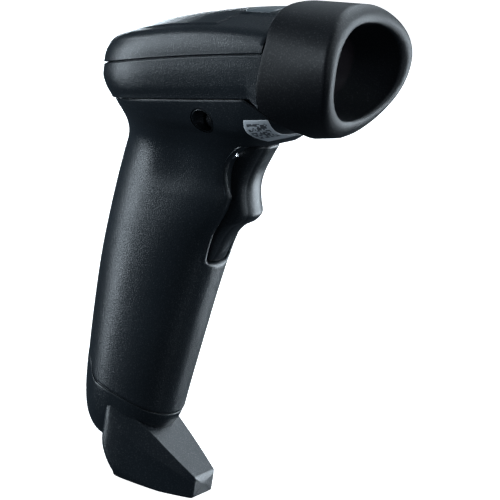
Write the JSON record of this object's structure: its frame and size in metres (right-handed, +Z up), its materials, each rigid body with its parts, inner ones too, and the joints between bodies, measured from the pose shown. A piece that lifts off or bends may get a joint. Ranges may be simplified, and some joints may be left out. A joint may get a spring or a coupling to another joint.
{
  "type": "handheld barcode scanner",
  "caption": "Cordless pistol-grip barcode scanner with a pitched head, deep nose hood, finger trigger and a standing foot under the grip.",
  "frame": {"origin": "middle of the footprint of the whole scanner, at the height of the foot's flat underside", "axes": "+X forward, the way the nose points; +Y to the user's left, across the scanner; +Z up"},
  "size_m": [0.0877, 0.0578, 0.1719],
  "materials": {
    "housing": "satin near-black blue-grey moulded plastic with a fine spark-eroded grain",
    "hood": "matte near-black moulded plastic, smoother than the housing",
    "trigger": "satin near-black moulded plastic, smooth on the finger face",
    "window": "dark glossy scan window, faintly red",
    "lens": "pale grey translucent moulding",
    "gasket": "black foam rubber",
    "label": "grey printed film with a plain dark pattern",
    "steel": "zinc-plated or stainless steel, satin",
    "gold": "gold-plated contacts",
    "board": "green solder mask",
    "chip": "black moulded epoxy or nylon",
    "engine": "dark moulded plastic",
    "glass": "coated objective glass",
    "cell": "shrink-wrapped cell, blue",
    "frame": "dark grey moulded plastic",
    "flex": "amber polyimide ribbon",
    "led": "clear epoxy over a pale die"
  },
  "bodies": {
    "casing": {"head_housing": "housing", "top_cover": "housing", "status_lens": "lens", "nose_hood": "hood", "scan_window": "window", "window_gasket": "gasket", "main_board": "board", "processor": "chip", "radio_module": "steel", "buzzer": "chip", "engine_bracket": "frame", "scan_engine_chassis": "engine", "engine_board": "board", "lens_barrel": "chip", "objective_lens": "glass", "right_illumination_led": "led", "left_illumination_led": "led", "led_board": "board", "status_led": "led", "handle_shell": "housing", "base_cap": "housing", "rating_label": "label", "trigger_pin": "steel", "right_side_screw": "steel", "left_side_screw": "steel", "base_cap_screw": "steel", "battery_cell": "cell", "battery_chassis": "frame", "battery_spring_contact": "steel", "battery_top_contact": "steel", "charge_contact_1": "gold", "charge_contact_2": "gold", "contact_board": "board", "switch_board": "board", "switch_body": "chip", "switch_flex_cable": "flex"},
    "trigger": {"trigger": "trigger", "trigger_spring": "steel"},
    "switch_plunger": {"switch_plunger": "frame"}
  },
  "joints": [
    {"name": "trigger_pivot", "type": "hinge", "parent": "casing", "child": "trigger", "pos_m": [0.00665, 0, 0.1182], "axis": [0, 1, 0], "range_deg": [0, 5], "stiffness_Nm_per_rad": 0.6, "springref_deg": -8.59},
    {"name": "plunger_slide", "type": "slide", "parent": "casing", "child": "switch_plunger", "axis": [-1, 0, 0], "range_m": [0, 0.00118]}
  ],
  "couplings": [
    {"joint": "plunger_slide", "follows": "trigger_pivot", "m_per_rad": 0.0112}
  ]
}
